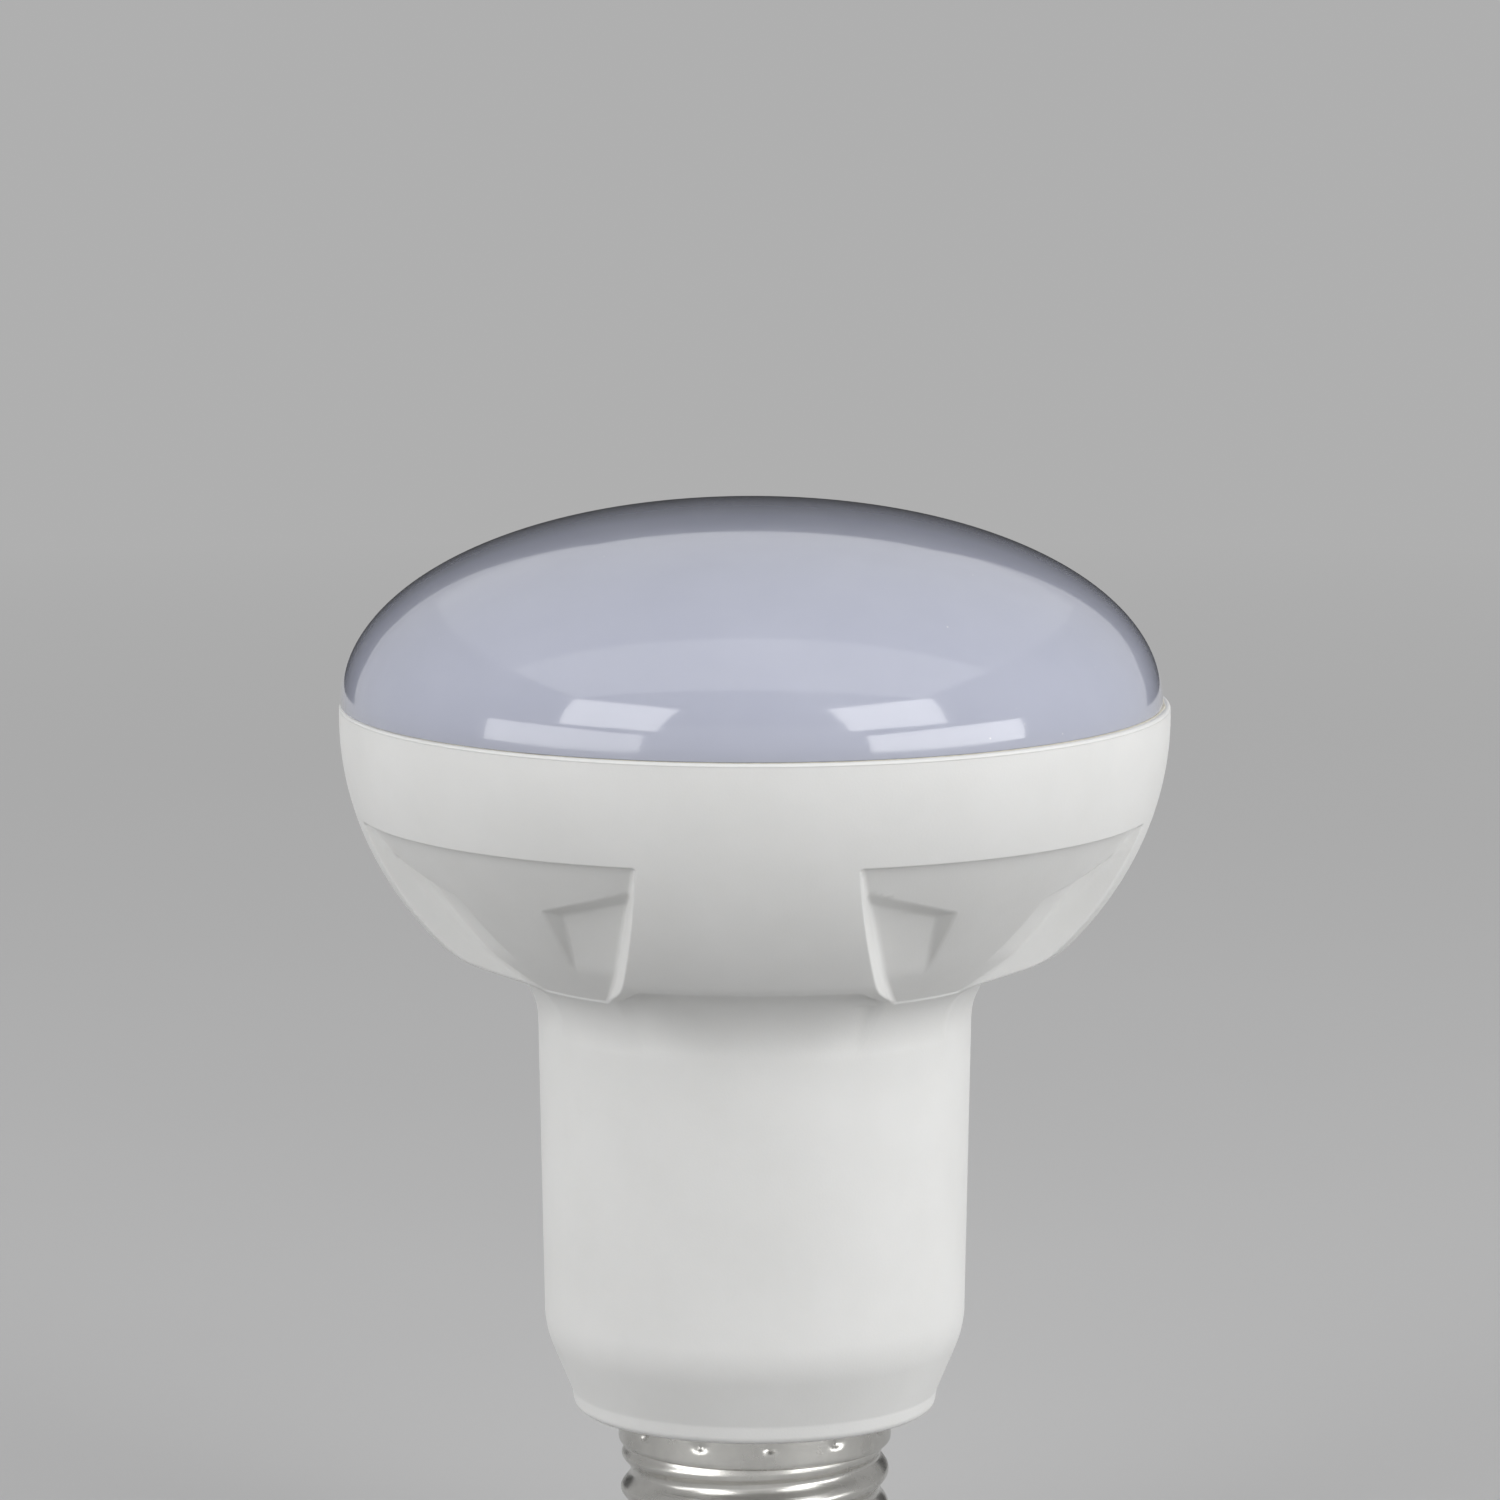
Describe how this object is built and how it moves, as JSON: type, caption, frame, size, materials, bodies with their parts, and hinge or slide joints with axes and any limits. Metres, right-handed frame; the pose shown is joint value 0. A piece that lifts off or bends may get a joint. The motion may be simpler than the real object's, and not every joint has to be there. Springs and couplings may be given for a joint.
{
  "type": "reflector bulb",
  "caption": "LED reflector lamp with a milky domed diffuser, a white moulded bowl and neck with recessed panels, and a round-thread screw cap.",
  "frame": {"origin": "centre of the underside of the centre contact, on the lamp's axis", "axes": "+Z along the lamp's axis from the cap to the diffuser; +X and +Y through the middles of two neighbouring pads"},
  "size_m": [0.08, 0.08, 0.114],
  "materials": {
    "diffuser_plastic": "milky polycarbonate, glossy and faintly bluish",
    "housing_plastic": "white moulded plastic with a satin skin",
    "silicone": "pale silicone",
    "sink_aluminium": "drawn sheet",
    "board_white": "white solder mask on aluminium",
    "led_phosphor": "white package with a yellow window",
    "screw_steel": "zinc-plated",
    "terminal_plastic": "ivory moulded plastic",
    "wire_red": "insulation",
    "wire_black": "insulation",
    "wire_brown": "insulation",
    "wire_blue": "insulation",
    "circuit_board": "green solder mask on glass fibre",
    "ferrite": "dull sintered ferrite",
    "winding_tape": "yellow polyester tape",
    "capacitor_blue": "shrunk sleeve with a bare end",
    "capacitor_green": "shrunk sleeve with a bare end",
    "film_box": "moulded box",
    "enamelled_copper": "enamelled wire",
    "resistor_body": "lacquered ceramic",
    "chip_plastic": "moulded epoxy",
    "cap_nickel": "rolled sheet, nickel-plated",
    "cap_glass": "black vitrified insulator",
    "contact_brass": "pressed and tinned rivet"
  },
  "bodies": {
    "root": {"diffuser": "diffuser_plastic", "housing": "housing_plastic", "sealant_bead": "silicone", "heat_sink": "sink_aluminium", "led_board": "board_white", "led_chips": "led_phosphor", "board_screws": "screw_steel", "lead_terminal": "terminal_plastic", "led_lead_red": "wire_red", "led_lead_black": "wire_black", "driver_board": "circuit_board", "transformer_core": "ferrite", "transformer_coil": "winding_tape", "input_capacitor": "capacitor_blue", "output_capacitor": "capacitor_green", "film_capacitor": "film_box", "inductor_core": "ferrite", "inductor_coil": "enamelled_copper", "fuse_resistor": "resistor_body", "bridge_rectifier": "chip_plastic", "driver_chip": "chip_plastic", "chip_resistors": "chip_plastic", "live_wire": "wire_brown", "neutral_wire": "wire_blue", "cap_shell": "cap_nickel", "cap_insulator": "cap_glass", "centre_contact": "contact_brass"}
  },
  "joints": []
}
